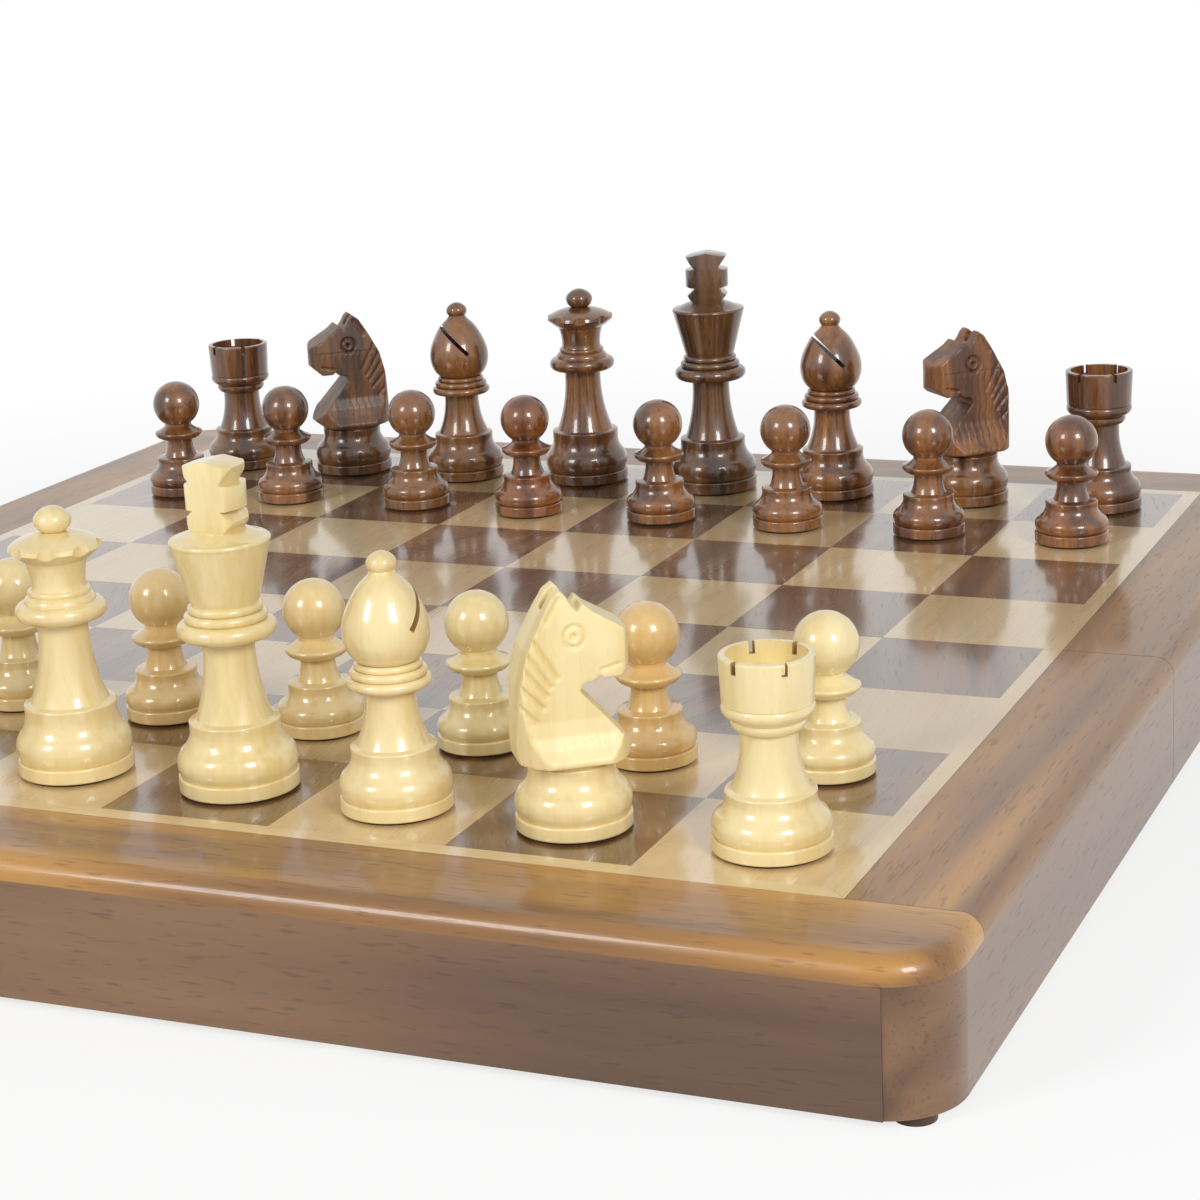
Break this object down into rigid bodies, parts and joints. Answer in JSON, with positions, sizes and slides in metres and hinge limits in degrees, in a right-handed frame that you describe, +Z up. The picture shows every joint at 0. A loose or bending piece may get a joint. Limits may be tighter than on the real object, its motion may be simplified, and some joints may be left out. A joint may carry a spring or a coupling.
{
  "type": "magnetic chess set",
  "caption": "Folding wooden board case with inlaid squares, brass hinges and a felt-lined tray in each half, set out with a full set of turned magnetic chessmen.",
  "frame": {"origin": "middle of the board's seam at the level of the surface it stands on, board open and flat", "axes": "+Z up out of the playing surface, +X from the a file to the h file, +Y from the first rank to the eighth"},
  "size_m": [0.303, 0.303, 0.0824],
  "materials": {
    "rail_wood": "gloss lacquer",
    "wall_wood": "gloss lacquer",
    "deck_board": "bare ply",
    "steel": "cold rolled",
    "dark_veneer": "gloss lacquer",
    "light_veneer": "gloss lacquer",
    "green_felt": "felt",
    "foot_felt": "felt",
    "magnet": "nickel plated",
    "brass": "polished",
    "boxwood": "gloss lacquer",
    "rosewood": "gloss lacquer"
  },
  "bodies": {
    "root": {"front_cap_rails": "rail_wood", "front_catch_magnets": "magnet", "front_dark_squares": "dark_veneer", "front_deck": "deck_board", "front_end_wall": "wall_wood", "front_felt_feet": "foot_felt", "front_felt_lining": "green_felt", "front_hinge_leaves": "brass", "front_hinge_screws": "brass", "front_light_squares": "light_veneer", "front_seam_wall": "wall_wood", "front_side_walls": "wall_wood", "front_steel_sheet": "steel", "front_stringing": "light_veneer"},
    "back_half": {"back_cap_rails": "rail_wood", "back_catch_magnets": "magnet", "back_dark_squares": "dark_veneer", "back_deck": "deck_board", "back_end_wall": "wall_wood", "back_felt_feet": "foot_felt", "back_felt_lining": "green_felt", "back_hinge_leaves": "brass", "back_hinge_screws": "brass", "back_light_squares": "light_veneer", "back_seam_wall": "wall_wood", "back_side_walls": "wall_wood", "back_steel_sheet": "steel", "back_stringing": "light_veneer"},
    "black_bishop_c8": {"black_bishop_c8": "rosewood"},
    "black_bishop_f8": {"black_bishop_f8": "rosewood"},
    "black_king_e8": {"black_king_e8": "rosewood"},
    "black_knight_b8": {"black_knight_b8": "rosewood"},
    "black_knight_g8": {"black_knight_g8": "rosewood"},
    "black_pawn_a7": {"black_pawn_a7": "rosewood"},
    "black_pawn_b7": {"black_pawn_b7": "rosewood"},
    "black_pawn_c7": {"black_pawn_c7": "rosewood"},
    "black_pawn_d7": {"black_pawn_d7": "rosewood"},
    "black_pawn_e7": {"black_pawn_e7": "rosewood"},
    "black_pawn_f7": {"black_pawn_f7": "rosewood"},
    "black_pawn_g7": {"black_pawn_g7": "rosewood"},
    "black_pawn_h7": {"black_pawn_h7": "rosewood"},
    "black_queen_d8": {"black_queen_d8": "rosewood"},
    "black_rook_a8": {"black_rook_a8": "rosewood"},
    "black_rook_h8": {"black_rook_h8": "rosewood"},
    "white_bishop_c1": {"white_bishop_c1": "boxwood"},
    "white_bishop_f1": {"white_bishop_f1": "boxwood"},
    "white_king_e1": {"white_king_e1": "boxwood"},
    "white_knight_b1": {"white_knight_b1": "boxwood"},
    "white_knight_g1": {"white_knight_g1": "boxwood"},
    "white_pawn_a2": {"white_pawn_a2": "boxwood"},
    "white_pawn_b2": {"white_pawn_b2": "boxwood"},
    "white_pawn_c2": {"white_pawn_c2": "boxwood"},
    "white_pawn_d2": {"white_pawn_d2": "boxwood"},
    "white_pawn_e2": {"white_pawn_e2": "boxwood"},
    "white_pawn_f2": {"white_pawn_f2": "boxwood"},
    "white_pawn_g2": {"white_pawn_g2": "boxwood"},
    "white_pawn_h2": {"white_pawn_h2": "boxwood"},
    "white_queen_d1": {"white_queen_d1": "boxwood"},
    "white_rook_a1": {"white_rook_a1": "boxwood"},
    "white_rook_h1": {"white_rook_h1": "boxwood"}
  },
  "joints": [
    {"name": "board_fold", "type": "hinge", "parent": "root", "child": "back_half", "pos_m": [0, 0, 0.0015], "axis": [-1, 0, 0], "range_deg": [0, 178.6]},
    {"name": "lift_black_bishop_c8", "type": "slide", "parent": "back_half", "child": "black_bishop_c8", "axis": [0, 0, 1], "range_m": [0, 0.09]},
    {"name": "lift_black_bishop_f8", "type": "slide", "parent": "back_half", "child": "black_bishop_f8", "axis": [0, 0, 1], "range_m": [0, 0.09]},
    {"name": "lift_black_king_e8", "type": "slide", "parent": "back_half", "child": "black_king_e8", "axis": [0, 0, 1], "range_m": [0, 0.09]},
    {"name": "lift_black_knight_b8", "type": "slide", "parent": "back_half", "child": "black_knight_b8", "axis": [0, 0, 1], "range_m": [0, 0.09]},
    {"name": "lift_black_knight_g8", "type": "slide", "parent": "back_half", "child": "black_knight_g8", "axis": [0, 0, 1], "range_m": [0, 0.09]},
    {"name": "lift_black_pawn_a7", "type": "slide", "parent": "back_half", "child": "black_pawn_a7", "axis": [0, 0, 1], "range_m": [0, 0.09]},
    {"name": "lift_black_pawn_b7", "type": "slide", "parent": "back_half", "child": "black_pawn_b7", "axis": [0, 0, 1], "range_m": [0, 0.09]},
    {"name": "lift_black_pawn_c7", "type": "slide", "parent": "back_half", "child": "black_pawn_c7", "axis": [0, 0, 1], "range_m": [0, 0.09]},
    {"name": "lift_black_pawn_d7", "type": "slide", "parent": "back_half", "child": "black_pawn_d7", "axis": [0, 0, 1], "range_m": [0, 0.09]},
    {"name": "lift_black_pawn_e7", "type": "slide", "parent": "back_half", "child": "black_pawn_e7", "axis": [0, 0, 1], "range_m": [0, 0.09]},
    {"name": "lift_black_pawn_f7", "type": "slide", "parent": "back_half", "child": "black_pawn_f7", "axis": [0, 0, 1], "range_m": [0, 0.09]},
    {"name": "lift_black_pawn_g7", "type": "slide", "parent": "back_half", "child": "black_pawn_g7", "axis": [0, 0, 1], "range_m": [0, 0.09]},
    {"name": "lift_black_pawn_h7", "type": "slide", "parent": "back_half", "child": "black_pawn_h7", "axis": [0, 0, 1], "range_m": [0, 0.09]},
    {"name": "lift_black_queen_d8", "type": "slide", "parent": "back_half", "child": "black_queen_d8", "axis": [0, 0, 1], "range_m": [0, 0.09]},
    {"name": "lift_black_rook_a8", "type": "slide", "parent": "back_half", "child": "black_rook_a8", "axis": [0, 0, 1], "range_m": [0, 0.09]},
    {"name": "lift_black_rook_h8", "type": "slide", "parent": "back_half", "child": "black_rook_h8", "axis": [0, 0, 1], "range_m": [0, 0.09]},
    {"name": "lift_white_bishop_c1", "type": "slide", "parent": "root", "child": "white_bishop_c1", "axis": [0, 0, 1], "range_m": [0, 0.09]},
    {"name": "lift_white_bishop_f1", "type": "slide", "parent": "root", "child": "white_bishop_f1", "axis": [0, 0, 1], "range_m": [0, 0.09]},
    {"name": "lift_white_king_e1", "type": "slide", "parent": "root", "child": "white_king_e1", "axis": [0, 0, 1], "range_m": [0, 0.09]},
    {"name": "lift_white_knight_b1", "type": "slide", "parent": "root", "child": "white_knight_b1", "axis": [0, 0, 1], "range_m": [0, 0.09]},
    {"name": "lift_white_knight_g1", "type": "slide", "parent": "root", "child": "white_knight_g1", "axis": [0, 0, 1], "range_m": [0, 0.09]},
    {"name": "lift_white_pawn_a2", "type": "slide", "parent": "root", "child": "white_pawn_a2", "axis": [0, 0, 1], "range_m": [0, 0.09]},
    {"name": "lift_white_pawn_b2", "type": "slide", "parent": "root", "child": "white_pawn_b2", "axis": [0, 0, 1], "range_m": [0, 0.09]},
    {"name": "lift_white_pawn_c2", "type": "slide", "parent": "root", "child": "white_pawn_c2", "axis": [0, 0, 1], "range_m": [0, 0.09]},
    {"name": "lift_white_pawn_d2", "type": "slide", "parent": "root", "child": "white_pawn_d2", "axis": [0, 0, 1], "range_m": [0, 0.09]},
    {"name": "lift_white_pawn_e2", "type": "slide", "parent": "root", "child": "white_pawn_e2", "axis": [0, 0, 1], "range_m": [0, 0.09]},
    {"name": "lift_white_pawn_f2", "type": "slide", "parent": "root", "child": "white_pawn_f2", "axis": [0, 0, 1], "range_m": [0, 0.09]},
    {"name": "lift_white_pawn_g2", "type": "slide", "parent": "root", "child": "white_pawn_g2", "axis": [0, 0, 1], "range_m": [0, 0.09]},
    {"name": "lift_white_pawn_h2", "type": "slide", "parent": "root", "child": "white_pawn_h2", "axis": [0, 0, 1], "range_m": [0, 0.09]},
    {"name": "lift_white_queen_d1", "type": "slide", "parent": "root", "child": "white_queen_d1", "axis": [0, 0, 1], "range_m": [0, 0.09]},
    {"name": "lift_white_rook_a1", "type": "slide", "parent": "root", "child": "white_rook_a1", "axis": [0, 0, 1], "range_m": [0, 0.09]},
    {"name": "lift_white_rook_h1", "type": "slide", "parent": "root", "child": "white_rook_h1", "axis": [0, 0, 1], "range_m": [0, 0.09]}
  ]
}
